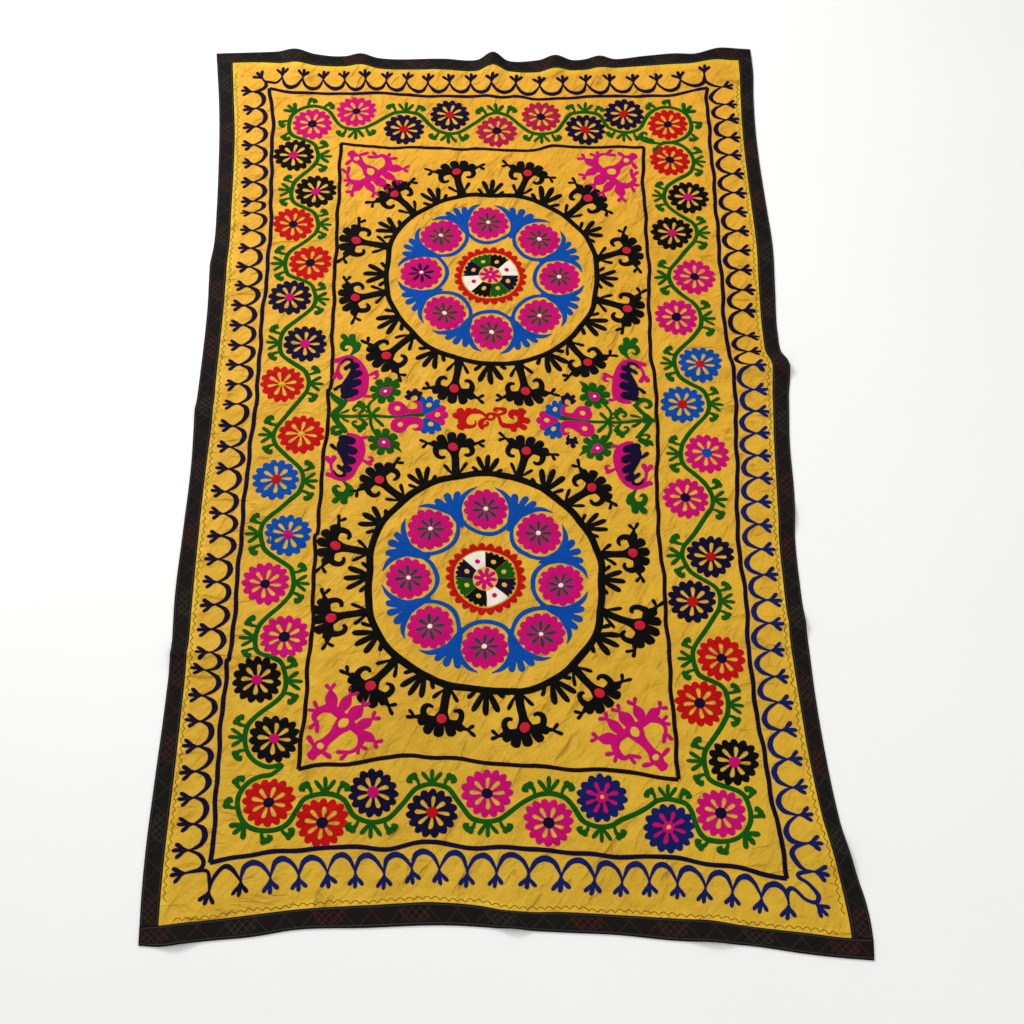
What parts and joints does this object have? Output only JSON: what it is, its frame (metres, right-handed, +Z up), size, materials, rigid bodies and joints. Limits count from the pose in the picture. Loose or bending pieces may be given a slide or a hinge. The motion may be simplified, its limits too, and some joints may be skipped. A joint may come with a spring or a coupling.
{
  "type": "suzani embroidered textile",
  "caption": "Golden satin cloth with chain-stitched medallions, rosettes and vine in a framed border, edged with dark woven tape, lying face up.",
  "frame": {"origin": "under the middle of the cloth's bounding box, on the surface that it lies on", "axes": "+Y runs along the cloth's length toward its top edge, +X across its width, +Z up out of its embroidered face"},
  "size_m": [1.4376, 2.3812, 0.0145],
  "materials": {
    "satin_ground": "golden yellow cotton satin with a soft sheen",
    "woven_tape": "charcoal woven tape with thin red-brown and grey lattice lines",
    "thread_dark": "navy, royal blue and black chain stitch, lustrous thread",
    "thread_bright": "magenta, red and white chain stitch, lustrous thread",
    "thread_green": "green chain stitch, lustrous thread"
  },
  "bodies": {
    "root": {"ground_cloth": "satin_ground", "binding_top": "woven_tape", "binding_bottom": "woven_tape", "binding_left": "woven_tape", "binding_right": "woven_tape"}
  },
  "joints": []
}
